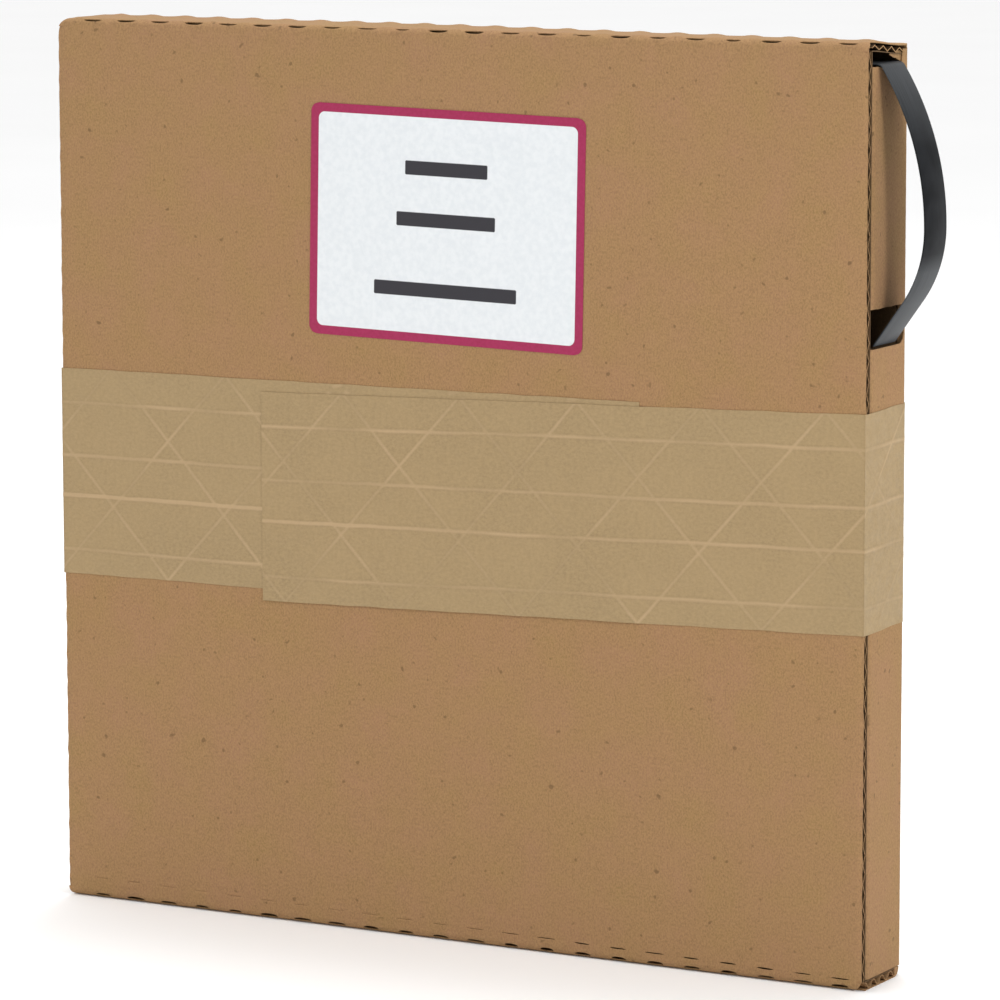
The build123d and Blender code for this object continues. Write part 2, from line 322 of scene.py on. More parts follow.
def tape_material(name):
    """Smooth calendered kraft, with a painted highlight over the yarns and a faint painted shade
    just beside them.
    """
    n = Nodes(name)
    web = (1, 1, 0.12)
    tint = n.map(n.noise(45, 3.0), 0.35, 0.65)
    color = n.mix(tint, shade(TAPE, 0.95), shade(TAPE, 1.04))
    line = n.map(n.noise(900, 2.0, web), 0.3, 0.7)
    color = n.mix(n.math("MULTIPLY", line, 0.35), color, shade(TAPE, 0.86))
    grain = n.map(n.noise(1100, 3.0, (0.7, 0.7, 1), 0.7), 0.36, 0.64)
    color = n.mix(n.math("MULTIPLY", grain, 0.7), color, shade(TAPE, 1.22))
    yarn = n.add("ShaderNodeAttribute", attribute_name="yarn").outputs["Fac"]
    # A little darker just beside the yarns: painted shade.
    beside = n.map(yarn, 0.01, 0.12)
    color = n.mix(n.math("MULTIPLY", beside, 0.14), color, shade(TAPE, 0.7))
    # Paler over the yarns and the ridge: a painted highlight.
    color = n.mix(n.math("MULTIPLY", n.map(yarn, 0.16, 0.8), 0.52), color, TAPE_YARN_HIGHLIGHT)
    normal = n.bump(n.noise(700, 2.0, web), 0.22, 0.08 * MM)
    normal = n.bump(n.noise(120, 2.0), 0.3, 0.3 * MM, normal)
    rough = n.map(n.noise(300, 2.0), 0.3, 0.7, 0.46, 0.62)
    return n.set(color=color, roughness=rough, specular=0.35, normal=normal)


def steel_material(name, dark_run=None):
    """Black waxed strapping: lengthwise drawing lines, scuffs and a soft sheen.

    With a run given as two distances, the strap is greyer outside them, a painted reflection of the
    bright room, and keeps its dark colour between them.
    """
    n = Nodes(name)
    uv = n.add("ShaderNodeUVMap").outputs["UV"]
    lines = n.add("ShaderNodeTexNoise", {"Vector": n.stretched(uv, (0.02, 1, 1)), "Scale": 2600,
                                         "Detail": 3.0}).outputs["Fac"]
    patch = n.add("ShaderNodeTexNoise", {"Vector": uv, "Scale": 120, "Detail": 4.0}).outputs["Fac"]
    color = n.mix(n.map(patch, 0.35, 0.65), STEEL_DARK, STEEL_PALE)
    drawn = n.math("MULTIPLY", n.map(lines, 0.45, 0.75), 0.1 if dark_run else 0.3)
    color = n.mix(drawn, color, STEEL_DRAWN)
    rough = n.map(lines, 0.3, 0.7, 0.34, 0.5)
    normal = n.bump(lines, 0.12, 0.05 * MM)
    if dark_run:
        # Outside the run the strap gets a greyer colour: a painted reflection.
        along = n.add("ShaderNodeSeparateXYZ", {"Vector": uv}).outputs["X"]
        start = n.map(along, dark_run[0], dark_run[0] + 28 * MM)
        end = n.map(along, dark_run[1] - 3 * MM, dark_run[1] + 3 * MM)
        in_dark_run = n.math("SUBTRACT", start, end)
        painted_reflection = n.mix(n.map(lines, 0.35, 0.7), REFLECTION_GREY_DARK, REFLECTION_GREY_PALE)
        color = n.mix(in_dark_run, painted_reflection, color)
    return n.set(color=color, roughness=rough, specular=0.05 if dark_run else 0.24, normal=normal)


kraft = kraft_material("kraft_liner")
# The inner liners are a darker copy of the kraft: painted shade, for paper that little light
# reaches.
shaded_inner_kraft = kraft_material("kraft_inner_liner_painted_shade", 0.4)
# The inner side of the slit folds is darker still: painted shade that makes the slits read as dark
# gaps.
painted_fold_shade = kraft_material("kraft_fold_painted_shade", 0.12)
cut_board = cut_board_material("cut_board")
tape_paper = tape_material("reinforced_tape")
steel = steel_material("strap_steel")


# ---------------------------------------------------------------- columns shared by the wrap
def wrap_columns():
    """X of the columns: close together across each slit, wider between slits."""
    xs = [-HALF_X]
    for centre in slit_centres:
        xs += list(centre + SLIT_LENGTH / 2 * np.linspace(-1.1, 1.1, 15))
        xs += list(centre + SLIT_PITCH / 2 + 2.1 * MM * np.linspace(-1, 1, 4))
    xs += [HALF_X]
    xs += list(HALF_X - MM * np.array([0.25, 0.6, 1.1, 1.8, 2.7]))
    xs += list(-HALF_X + MM * np.array([0.25, 0.6, 1.1, 1.8, 2.7, 4, 6, 8, 10]))
    xs = np.unique(np.round(xs, 6))
    return xs[(xs >= -HALF_X) & (xs <= HALF_X)]


columns = wrap_columns()


def edge_pull(x, z):
    """Rounds the blank's tired corners: how far x moves inwards near the carton's four corners."""
    pull = np.zeros(np.broadcast(x, z).shape)
    # Right or left, top or foot, and the corner's radius in mm
    for side, end, radius in ((-1, 1, 5.0), (1, -1, 4.2), (-1, -1, 1.6), (1, 1, 1.2)):
        r = radius * MM
        height = (HEIGHT / 2 + end * (z - HEIGHT / 2)) - (HEIGHT - r)
        depth = r - np.sqrt(np.maximum(r * r - np.clip(height, 0, r) ** 2, 0))
        near = ramp(side * x, HALF_X - 9 * MM, HALF_X)
        pull = pull - side * depth * near
    return pull


def raw_edge(x, z, seed):
    """Small unevenness of the knife cut at the blank's left and right edges."""
    near = ramp(np.abs(x), HALF_X - 1.5 * MM, HALF_X)
    return -np.sign(x) * near * (0.12 + 0.12 * noise(z, 0 * z, 3 * MM, seed)) * MM


# ---------------------------------------------------------------- the wrap: front, top, back
def front_inset(x, z):
    """How far the front's face lies behind its flat CAD plane."""
    board = 0.02 * (1 + np.cos(2 * np.pi * z / FLUTE)) + 0.05 * (1 + noise(x, z, 45 * MM, 3))
    near_edge = ramp(np.abs(x), HALF_X - 2.2 * MM, HALF_X)
    flute = 0.5 - 0.5 * np.cos(2 * np.pi * z / FLUTE + 0.8)
    curl = near_edge * (0.10 + 0.28 * flute + 0.1 * noise(z, x, 4 * MM, 5))
    top = 0.25 * ramp(z, FLAT_TOP - 4 * MM, FLAT_TOP) * beside_slit(x)
    low = 0.15 * ramp(-z, -FOLD - 3 * MM, -FOLD)
    return (board + curl + top + low) * MM


def row_height(x):
    """The spare crease row: 7.2 mm above the floor at the left, 3.6 mm at the right."""
    return (5.4 - 12.0 * x) * MM + 0.12 * MM * noise(x, 0 * x, SLIT_PITCH, 8)


def build_front():
    slit = row_height(columns)
    strength = ramp(columns, -20 * MM, 80 * MM)
    half = slit_lens(columns, 0.23 * MM, 11) * (0.12 + 0.88 * strength)
    below = np.linspace(0, 1, 9)
    above = np.concatenate([np.linspace(0, 0.02, 14)[:-1], np.linspace(0.02, 0.97, 118)[:-1],
                            np.linspace(0.97, 1, 10)])
    lower = FOLD + below[:, None] * (slit - half - FOLD)
    upper = slit + half + above[:, None] * (FLAT_TOP - slit - half)
    z = np.vstack([lower, upper])
    x = np.broadcast_to(columns, z.shape)
    inset = front_inset(x, z)
    near = bell(z - slit, 0.8 * MM) * np.sqrt(np.maximum(slit_lens(x, 1.0, 11), 0))
    wrinkle = 0.10 + 0.12 * (1 - strength) * noise(x, z, 1.8 * MM, 21)
    inset = inset - near * wrinkle * MM + 0.22 * MM * near * bell(z - slit, 0.25 * MM)
    points = np.stack([x + edge_pull(x, z) + raw_edge(x, z, 4), FRONT_Y + inset, z], -1)
    faces = grid_faces(*z.shape, gap_row=len(below) - 1)
    points, faces = shell(points.reshape(-1, 3), faces, LINER)
    piece("front_face", points, faces, kraft, replaces=["front_outer_liner"])


def top_droop(x, y):
    """The top sags between its folds, and falls away at the back towards the open end."""
    back = ramp(y, -FLAT_Y, BACK_Y)
    end = 0.9 * ramp(x, -40 * MM, 140 * MM) + 1.2 * ramp(x, 138 * MM, HALF_X) ** 2
    middle = 0.25 * (1 - (y / FLAT_Y) ** 2).clip(0)
    return (end * back + middle + 0.03 * (1 + noise(x, y, 20 * MM, 31))) * MM


def slit_fold(name, centre, first_angle, slit_place, lens, sag, insets, replaces, seed,
              thickness=LINER * 1.3):
    """A quarter turn of liner about (y, z) centre, slit along the crease.

    Rows run the way the wrap does, from under the bottom up the front and over the top.
    slit_place is where the slits cut the turn, and lens is half of a slit's widest opening.
    insets says how far behind the CAD face the panels before and after the fold lie.
    """
    half = slit_lens(columns, lens, seed) / (FOLD * math.pi / 2)
    place = slit_place + 0.02 * noise(columns, 0 * columns, SLIT_PITCH, seed)
    below, above = np.linspace(0, 1, 9), np.linspace(0, 1, 7)
    lower = below[:, None] * (place - half)
    upper = place + half + above[:, None] * (1 - place - half)
    turn = np.vstack([lower, upper])
    x = np.broadcast_to(columns, turn.shape)
    angle = math.radians(first_angle) - turn * math.pi / 2
    opened = slit_lens(x, 1.0, seed)
    lip = bell(turn - place, 0.16) * opened
    outside = np.where(turn < place, 0.10, -0.35) * lip
    crush = 0.05 * noise(x, turn * FOLD, 2.5 * MM, seed + 1) - 0.08
    radius = FOLD + (outside + crush) * np.sin(np.pi * turn) * MM
    radius = radius - insets[0](x) * (1 - ramp(turn, 0, 0.4)) - insets[1](x) * ramp(turn, 0.6, 1)
    y = centre[0] + radius * np.cos(angle)
    z = centre[1] + radius * np.sin(angle) - sag(x, y, turn)
    x = x + edge_pull(x, z) + raw_edge(x, z, seed + 2)
    # The back fold's ends follow the rounded back corners of the carton.
    reach = FLAT_X + np.sqrt(FOLD**2 - np.clip(y - FLAT_Y, 0, FOLD * 0.95) ** 2)
    end = HALF_X - 8 * MM
    past = np.clip(np.abs(x) - end, 0, None)
    x = np.sign(x) * (np.abs(x) - past * (HALF_X - reach) / (HALF_X - end))
    points = np.stack([x, y, z], -1).reshape(-1, 3)
    faces = grid_faces(*turn.shape, gap_row=len(below) - 1)
    points, faces = shell(points, faces, thickness)
    # The fold's inner side is drawn in painted shade, so the slits look dark.
    piece(name, points, faces, kraft, replaces=replaces, lining=painted_fold_shade)


def top_front_sag(x, y, turn):
    return turn * top_droop(x, y) + 0.35 * MM * beside_slit(x) * ramp(turn, 0.45, 1)


def top_back_sag(x, y, turn):
    return (1 - turn) * top_droop(x, y) + 0.7 * MM * beside_slit(x) * (1 - ramp(turn, 0.2, 0.9))


def build_top():
    y = np.linspace(-FLAT_Y, FLAT_Y, 32)[:, None] + 0 * columns
    x = np.broadcast_to(columns, y.shape)
    drop = top_droop(x, y)
    drop = drop + 0.35 * MM * beside_slit(x) * (1 - ramp(y, -FLAT_Y, -FLAT_Y + 4 * MM))
    drop = drop + 0.7 * MM * beside_slit(x) * ramp(y, FLAT_Y - 5 * MM, FLAT_Y)
    z = HEIGHT - drop
    points = np.stack([x + edge_pull(x, z) + raw_edge(x, y, 41), y, z], -1).reshape(-1, 3)
    points, faces = shell(points, grid_faces(*y.shape), LINER)
    piece("top_face", points, faces, kraft, replaces=["top_outer_liner"])


def no_sag(x, y, turn):
    return 0 * x


def no_inset(x):
    return 0 * x


def front_inset_top(x):
    return front_inset(x, FLAT_TOP) * ramp(HALF_X - np.abs(x), 0, 3 * MM)


def front_inset_low(x):
    return front_inset(x, FOLD) * ramp(HALF_X - np.abs(x), 0, 3 * MM)


def build_back():
    xs = np.linspace(-FLAT_X, FLAT_X, 150)
    z = np.linspace(FLAT_TOP, 0, 150)[:, None] + 0 * xs
    x = np.broadcast_to(xs, z.shape)
    inset = 0.02 * (1 + np.cos(2 * np.pi * z / FLUTE)) + 0.06 * (1 + noise(x, z, 50 * MM, 51))
    inset = inset * ramp(FLAT_TOP - z, -1 * MM, 4 * MM)
    points = np.stack([x, BACK_Y - inset * MM, z], -1).reshape(-1, 3)
    points, faces = shell(points, grid_faces(*z.shape), LINER)
    piece("back_face", points, faces, kraft, replaces=["back_outer_liner"])


build_front()
slit_fold("top_front_crease", (-FLAT_Y, FLAT_TOP), first_angle=180, slit_place=0.62,
          lens=0.85 * MM, sag=top_front_sag, insets=(front_inset_top, no_inset),
          replaces=["top_front_fold"], seed=61)
build_top()
slit_fold("top_back_crease", (FLAT_Y, FLAT_TOP), first_angle=90, slit_place=0.35,
          lens=0.75 * MM, sag=top_back_sag, insets=(no_inset, no_inset),
          replaces=["top_back_fold"], seed=71, thickness=1.3 * MM)
build_back()
slit_fold("bottom_front_crease", (-FLAT_Y, FOLD), first_angle=270, slit_place=0.48,
          lens=0.95 * MM, sag=no_sag, insets=(no_inset, front_inset_low),
          replaces=["bottom_front_fold"], seed=81)


# ---------------------------------------------------------------- fluted papers at raw edges
def fluting(name, along, place, amplitude, seed, replaces, crush=0.16):
    """A wavy paper between two liners, crushed here and there at its raw ends.

    place turns (x, distance over the flutes, height in the board) into a point.
    """
    span = along[-1] - along[0]
    count = round(span / FLUTE)
    waves = np.linspace(along[0], along[-1], count * 14 + 1)
    xs = np.array([-1, -0.998, -0.99, -0.97, 0, 0.97, 0.99, 0.998, 1]) * HALF_X
    x, w = np.broadcast_arrays(xs[None, :], waves[:, None])
    near = ramp(np.abs(x), 0.975 * HALF_X, HALF_X)
    phase = 2 * np.pi * (w - along[0]) / (span / count)
    phase = phase + near * 0.7 * noise(w, 0 * w, 9 * MM, seed)
    crushed = 1 - near * (crush + crush * noise(w, x, 7 * MM, seed + 1))
    height = amplitude * crushed * np.sin(phase)
    skew = near * 0.35 * MM * np.sin(2 * phase)
    points = place(x * 0.9995, w + skew, height).reshape(-1, 3)
    points, faces = shell(points, grid_faces(*w.shape), 0.34 * MM)
    piece(name, points, faces, cut_board, replaces=replaces, cut_edge=kraft)


BOARD_MIDDLE = FOLD / 2
FRONT_WAVE = 0.95 * MM
TOP_WAVE = 0.86 * MM


def front_flute_place(x, w, h):
    """The front's flutes run along X and follow each other up the front."""
    return np.stack([x, FRONT_Y + BOARD_MIDDLE - 0.1 * MM + h, w], -1)


def top_flute_place(x, w, h):
    """The top's flutes run along X and follow each other to the back."""
    return np.stack([x, w, HEIGHT - BOARD_MIDDLE - top_droop(x, w) + h], -1)


fluting("front_fluting", (FOLD, FLAT_TOP), front_flute_place, FRONT_WAVE, seed=91,
        replaces=["front_medium"])
fluting("top_fluting", (-FLAT_Y, FLAT_Y), top_flute_place, TOP_WAVE, seed=95,
        replaces=["top_medium"], crush=0.27)


def build_top_lining():
    y = np.linspace(-FLAT_Y, FLAT_Y, 12)[:, None] + 0 * columns[::6]
    x = np.broadcast_to(columns[::6], y.shape)
    z = HEIGHT - FOLD + LINER - top_droop(x, y)
    points = np.stack([x * 0.9993, y, z], -1).reshape(-1, 3)
    points, faces = shell(points, grid_faces(*y.shape), LINER)
    # The top's inner liner is drawn darker, in painted shade.
    piece("top_lining", points, faces, shaded_inner_kraft, replaces=["top_inner_liner"])


build_top_lining()


# ---------------------------------------------------------------- narrow sides
side_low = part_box("right_side_lower_outer_liner")[0].z
HOLE_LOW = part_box("right_side_lower_outer_liner")[1].z
HOLE_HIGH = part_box("right_side_upper_outer_liner")[0].z
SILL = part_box("right_side_upper_outer_liner")[1].z
side_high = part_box("right_back_fold")[1].z
SIDE_INSET = 0.03 * MM
FOLD_CORE = 2.2 * MM            # a fold is as thick as the crushed board in it
CORNER = 3.6 * MM               # radius of the tuck hole's lower back corner
ROWS_BELOW, ROWS_ABOVE = 70, 36


def side_path():
    """Plan of a narrow side from its tuck flap to the back: distances, points and normals."""
    turn = np.linspace(0, math.pi / 2, 9)
    radius = FOLD - SIDE_INSET
    tuck = [(FLAT_X + radius * math.sin(a), TUCK_Y - radius * math.cos(a)) for a in turn]
    hole_end = FLAT_Y - CORNER
    flats = np.concatenate([np.linspace(TUCK_Y, hole_end, 22)[1:],
                            np.linspace(hole_end, FLAT_Y, 10)[1:-1],
                            [FLAT_Y - 0.05 * MM, FLAT_Y]])
    flat = [(FLAT_X + radius, y) for y in flats]
    back = [(FLAT_X + radius * math.cos(a), FLAT_Y + FOLD * math.sin(a)) for a in turn[1:]]
    return np.array(tuck + flat + back), len(tuck), len(tuck) + len(flat)


def side_rows(plan, is_hole_side):
    """Heights of the rows for every column: below the tuck hole, then above it."""
    y = plan[:, 1]
    if is_hole_side:
        into = np.clip(y - (FLAT_Y - CORNER), 0, CORNER)
        low = HOLE_LOW + CORNER - np.sqrt(CORNER**2 - into**2)
        beyond = y >= FLAT_Y - 0.01 * MM
        middle = (HOLE_LOW + HOLE_HIGH) / 2
        low = np.where(beyond, middle, low)
        high = np.where(beyond, middle, HOLE_HIGH + 0.15 * MM * noise(y, 0 * y, 3 * MM, 5))
        torn = SILL + (side_high - SILL) * ramp(y, 8.8 * MM, 10.2 * MM)
        top = torn + 0.3 * MM * noise(y, 0 * y, 1.2 * MM, 6) * (y > 8 * MM)
    else:
        low = high = np.full(len(y), (HOLE_LOW + HOLE_HIGH) / 2)
        top = np.full(len(y), side_high)
    lower = side_low + np.linspace(0, 1, ROWS_BELOW)[:, None] * (low - side_low)
    rise = np.minimum(top, side_high) - high
    upper = high + np.linspace(0, 1, ROWS_ABOVE)[:, None] * rise
    return np.vstack([lower, upper])


def build_side(name, mirror, is_hole_side, replaces, seed):
    plan, flat_start, fold_start = side_path()
    z = side_rows(plan, is_hole_side)
    x = np.broadcast_to(plan[:, 0], z.shape)
    y = np.broadcast_to(plan[:, 1], z.shape)
    inset = (0.04 * (1 + noise(y, z, 25 * MM, seed)) + 0.015 * np.cos(2 * np.pi * z / FLUTE)) * MM
    x = x - inset
    if mirror:
        points = np.stack([-x, y, z], -1)[:, ::-1]
    else:
        points = np.stack([x, y, z], -1)
    core = np.full(z.shape, LINER)
    core[:, 1:flat_start - 1] = FOLD_CORE
    core[:, fold_start + 1:-1] = FOLD_CORE
    if mirror:
        core = core[:, ::-1]
    points = points.reshape(-1, 3)
    faces = grid_faces(*z.shape, gap_row=ROWS_BELOW - 1 if is_hole_side else None)
    thickness = core.reshape(-1)[first_use(points)][:, None]
    points, faces = shell(points, faces, thickness)
    piece(name, points, faces, kraft, replaces=replaces)


def first_use(points):
    """The vertex that each welded vertex comes from, in weld's order."""
    keys = np.round(points / WELD_DISTANCE).astype(np.int64)
    return np.unique(keys, axis=0, return_index=True)[1]


build_side("right_side_face", mirror=False, is_hole_side=True, seed=101,
           replaces=["right_side_lower_outer_liner", "right_side_upper_outer_liner",
                     "right_back_fold", "right_front_fold"])
build_side("left_side_face", mirror=True, is_hole_side=False, seed=111,
           replaces=["left_side_outer_liner", "left_back_fold", "left_front_fold"])


# ---------------------------------------------------------------- torn tongue in the exit
def build_tongue():
    """Torn liner: a ragged tongue that stands a little out of the side."""
    low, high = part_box("exit_torn_tongue")
    t = np.linspace(0, 1, 26)
    y = high.y + (low.y - high.y) * t
    # Its torn edges, in mm above the floor
    lower = 292.4 + 3.0 * t**1.2 + 0.16 * noise(y / MM, 0 * t, 1.1, 7)
    upper = 296.4 - 0.9 * t**1.6 + 0.2 * noise(y / MM, 0 * t, 0.9, 8)
    lower = np.minimum(lower, upper - 0.06)
    across = np.linspace(0, 1, 6)[:, None]
    z = (lower + (upper - lower) * across) * MM
    lift = 0.5 * MM * t**2 - 0.3 * MM * across * t
    x = high.x - 0.55 * MM + lift
    yy = np.broadcast_to(y, z.shape)
    points = np.stack([np.minimum(x, high.x), yy, z], -1)[:, ::-1].reshape(-1, 3)
    points, faces = shell(points, grid_faces(*z.shape), 0.25 * MM)
    piece("torn_tongue", points, faces, kraft, replaces=["exit_torn_tongue"])


build_tongue()


# ---------------------------------------------------------------- reinforced tape
TAPE_WIDTH = 70 * MM
TAPE_THICK = 0.2 * MM
RELIEF_ROOM = 0.13              # highest relief over the paper's base, in mm
YARN_LINES = (0.12, 0.38, 0.58, 0.84)
YARN_EDGE = 0.62 * MM
YARN_STEP = 44 * MM
YARN_ANGLE = math.radians(47)
YARN_SLOPE = math.tan(YARN_ANGLE)
TAPE_END_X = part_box("tape_end")[0].x
TAPE_START_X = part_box("tape_start")[1].x
SIDE_RUN = BACK_Y - FRONT_Y


def yarn_relief(s, w):
    """Height of the paper over the yarns, from 0 to 1, s along the strip and w across it."""
    height = np.zeros(np.broadcast(s, w).shape)
    for line in YARN_LINES:
        wander = 0.5 * MM * noise(s, 0 * w + line, 60 * MM, 121)
        height = np.maximum(height, bell(w - line * TAPE_WIDTH - wander, YARN_EDGE))
    for slope in (YARN_SLOPE, -YARN_SLOPE):
        phase = (s - w / slope + 0.8 * MM * noise(s, w, 40 * MM, 122)) % YARN_STEP
        distance = np.minimum(phase, YARN_STEP - phase) * math.sin(YARN_ANGLE)
        height = np.maximum(height, 0.85 * bell(distance, YARN_EDGE))
    fade = 0.66 + 0.34 * noise(s, w, 16 * MM, 123)
    return height * fade


def bright_ridge(s, w):
    """A slack fold that runs along the second yarn over the left part of the front; it lifts the
    paper a little and gets a painted highlight.
    """
    over = ramp(s, 0, 20 * MM) * (1 - ramp(s % (4 * HALF_X + 2 * SIDE_RUN), 60 * MM, 230 * MM))
    return 0.7 * over * bell(w - 0.385 * TAPE_WIDTH, 0.5 * MM)


def tape_run(name, plan, normals, s, low, node, extra=None, rows=130):
    """One stretch of the strip: plan and normals are per column, low is its lower edge.

    s is the distance along the strip, and extra adds to the relief of one stretch.
    """
    w = np.linspace(0, 1, rows)[:, None] * TAPE_WIDTH
    ss = np.broadcast_to(s, (rows, len(s)))
    relief = 0.11 * yarn_relief(ss, w) + 0.02 * noise(ss, w, 12 * MM, 125)
    relief = relief + 0.05 * bright_ridge(ss, w)
    if extra is not None:
        relief = np.minimum(relief + extra(ss, w), RELIEF_ROOM)
    height = (relief - RELIEF_ROOM) * MM
    z = low + w + 0.12 * MM * noise(ss, 0 * w, 8 * MM, 126)
    x = plan[:, 0] + normals[:, 0] * height
    y = plan[:, 1] + normals[:, 1] * height
    points = np.stack([x, y, np.broadcast_to(z, x.shape)], -1).reshape(-1, 3)
    # The yarn attribute sets the painted highlight over the yarns and the ridge, and the painted
    # shade beside them.
    strength = np.clip(yarn_relief(ss, w) + bright_ridge(ss, w), 0, 1.6).reshape(-1)
    strength = np.tile(strength[first_use(points)], 2)
    points, faces = shell(points, grid_faces(rows, len(s)), TAPE_THICK)
    made = piece(name, points, faces, tape_paper, replaces=[node])
    layer = made.data.attributes.new("yarn", "FLOAT", "POINT")
    layer.data.foreach_set("value", strength)
    return made


def line_between(first, last, low_z, high_z):
    """The tape's lower edge as a straight line from first to last."""
    return lambda v: low_z + (high_z - low_z) * (v - first) / (last - first)


tape_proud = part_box("tape_start")[0].y


def front_plan(x, y):
    """Columns on the front at depth y, with normals that point to the front."""
    return np.stack([x, 0 * x + y], -1), np.tile([0.0, -1.0], (len(x), 1))


def wrinkle(s, w):
    """Slack in the outer pass: a fold along the second yarn, and a pucker near the corner."""
    ridge = 0.05 * bell(w - 0.38 * TAPE_WIDTH, 1.4 * MM) * (1 - ramp(s, 90 * MM, 260 * MM))
    pucker = 0.08 * bell(w - 0.61 * TAPE_WIDTH, 2.2 * MM) * ramp(s, 280 * MM, 297 * MM)
    return ridge + pucker


def build_tape():
    end_low, end_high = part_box("tape_end")
    start_low, start_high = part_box("tape_start")
    outer = end_low.y
    x = np.arange(TAPE_END_X, HALF_X + 0.3 * MM, 0.55 * MM)
    x = np.append(x[x < HALF_X - 0.2 * MM], HALF_X)
    step = (outer - tape_proud) * ramp(x, TAPE_START_X - 0.5 * MM, TAPE_START_X + 3 * MM)
    plan, normals = front_plan(x, outer)
    plan[:, 1] -= step
    height = line_between(TAPE_END_X, HALF_X, end_low.z, end_high.z - TAPE_WIDTH)
    tape_run("tape_front_outer", plan, normals, x + HALF_X, height(x), "tape_end",
             extra=wrinkle)

    y = np.linspace(tape_proud, FLAT_Y, 48)
    right_low, right_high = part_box("tape_right")
    plan = np.stack([0 * y + right_high.x, y], -1)
    normals = np.tile([1.0, 0.0], (len(y), 1))
    height = line_between(tape_proud, FLAT_Y, right_low.z, right_high.z - TAPE_WIDTH)
    tape_run("tape_right_side", plan, normals, 2 * HALF_X + y - FRONT_Y, height(y), "tape_right")

    back_low, back_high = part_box("tape_back")
    turn = np.linspace(0, math.pi / 2, 9)
    reach = back_high.y - FLAT_Y
    right = [(FLAT_X + reach * math.cos(a), FLAT_Y + reach * math.sin(a)) for a in turn]
    flat = [(v, back_high.y) for v in np.linspace(FLAT_X, -FLAT_X, 330)[1:-1]]
    left = [(-FLAT_X - reach * math.sin(a), FLAT_Y + reach * math.cos(a)) for a in turn]
    plan = np.array(right + flat + left)
    normals = np.array([(math.cos(a), math.sin(a)) for a in turn] + [(0, 1)] * len(flat)
                       + [(-math.sin(a), math.cos(a)) for a in turn])
    s = np.concatenate([[0], np.cumsum(np.linalg.norm(np.diff(plan, axis=0), axis=1))])
    height = np.interp(plan[:, 0], [-FLAT_X, FLAT_X], [back_low.z, back_high.z - TAPE_WIDTH])
    tape_run("tape_back_face", plan, normals, 2 * HALF_X + SIDE_RUN + s, height, "tape_back",
             rows=90)

    y = np.linspace(FLAT_Y, tape_proud, 48)
    left_box_low, left_box_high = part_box("tape_left")
    plan = np.stack([0 * y + left_box_low.x, y], -1)
    normals = np.tile([-1.0, 0.0], (len(y), 1))
    height = line_between(FLAT_Y, tape_proud, left_box_low.z, start_low.z)
    s = 4 * HALF_X + SIDE_RUN + FLAT_Y - y
    tape_run("tape_left_side", plan, normals, s, height(y), "tape_left")

    x = np.concatenate([np.arange(-HALF_X, TAPE_END_X + 4 * MM, 0.55 * MM),
                        np.linspace(TAPE_END_X + 5 * MM, TAPE_START_X, 60)])
    plan, normals = front_plan(x, tape_proud)
    height = line_between(-HALF_X, TAPE_START_X, start_low.z, start_high.z - TAPE_WIDTH)
    s = 4 * HALF_X + 2 * SIDE_RUN + x + HALF_X
    tape_run("tape_front_inner", plan, normals, s, height(x), "tape_start")


build_tape()


# ---------------------------------------------------------------- label
label_low, label_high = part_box("label")
LABEL_SIZE = (102 * MM, 76 * MM)
LABEL_CORNER = 3 * MM
LABEL_TURN = math.radians(-1.1)
LABEL_BORDER = 2.9 * MM
label_centre = (label_low + label_high) / 2
# Each bar's place down the label, its width as a share of the label's, its height in mm
LABEL_BARS = ((0.255, 0.30, 4.6), (0.475, 0.36, 4.6), (0.775, 0.52, 4.6))


def label_material():
    """White label paper with a printed crimson border and grey bars where words would be."""
    n = Nodes("label_print")
    uv = n.add("ShaderNodeUVMap").outputs["UV"]
    split = n.add("ShaderNodeSeparateXYZ", {0: uv}).outputs
    across, up = split[0], split[1]

    def box_distance(cx, cy, half_w, half_h, corner):
        dx = n.math("SUBTRACT", n.math("ABSOLUTE", n.math("SUBTRACT", across, cx)), half_w - corner)
        dy = n.math("SUBTRACT", n.math("ABSOLUTE", n.math("SUBTRACT", up, cy)), half_h - corner)
        outside = n.math("SQRT", n.math("ADD", n.math("POWER", n.math("MAXIMUM", dx, 0.0), 2.0),
                                        n.math("POWER", n.math("MAXIMUM", dy, 0.0), 2.0)))
        inside = n.math("MINIMUM", n.math("MAXIMUM", dx, dy), 0.0)
        return n.math("SUBTRACT", n.math("ADD", outside, inside), corner)

    wide, tall = LABEL_SIZE
    paper = n.mix(n.map(n.noise(500, 2.0), 0.35, 0.65), *LABEL_PAPER)
    ink = n.mix(n.map(n.noise(900, 2.0), 0.3, 0.7), *LABEL_INK)
    edge = box_distance(wide / 2, tall / 2, wide / 2 - LABEL_BORDER, tall / 2 - LABEL_BORDER,
                        2.2 * MM)
    color = n.mix(n.map(edge, -0.06 * MM, 0.06 * MM), paper, ink)
    for place, width, height in LABEL_BARS:
        bar = box_distance(wide / 2, tall * (1 - place), wide * width / 2, height * MM / 2,
                           0.5 * MM)
        color = n.mix(n.map(bar, 0.08 * MM, -0.08 * MM), color, LABEL_GREY)
    normal = n.bump(n.noise(1200, 2.0), 0.1, 0.04 * MM)
    return n.set(color=color, roughness=0.42, specular=0.4, normal=normal)


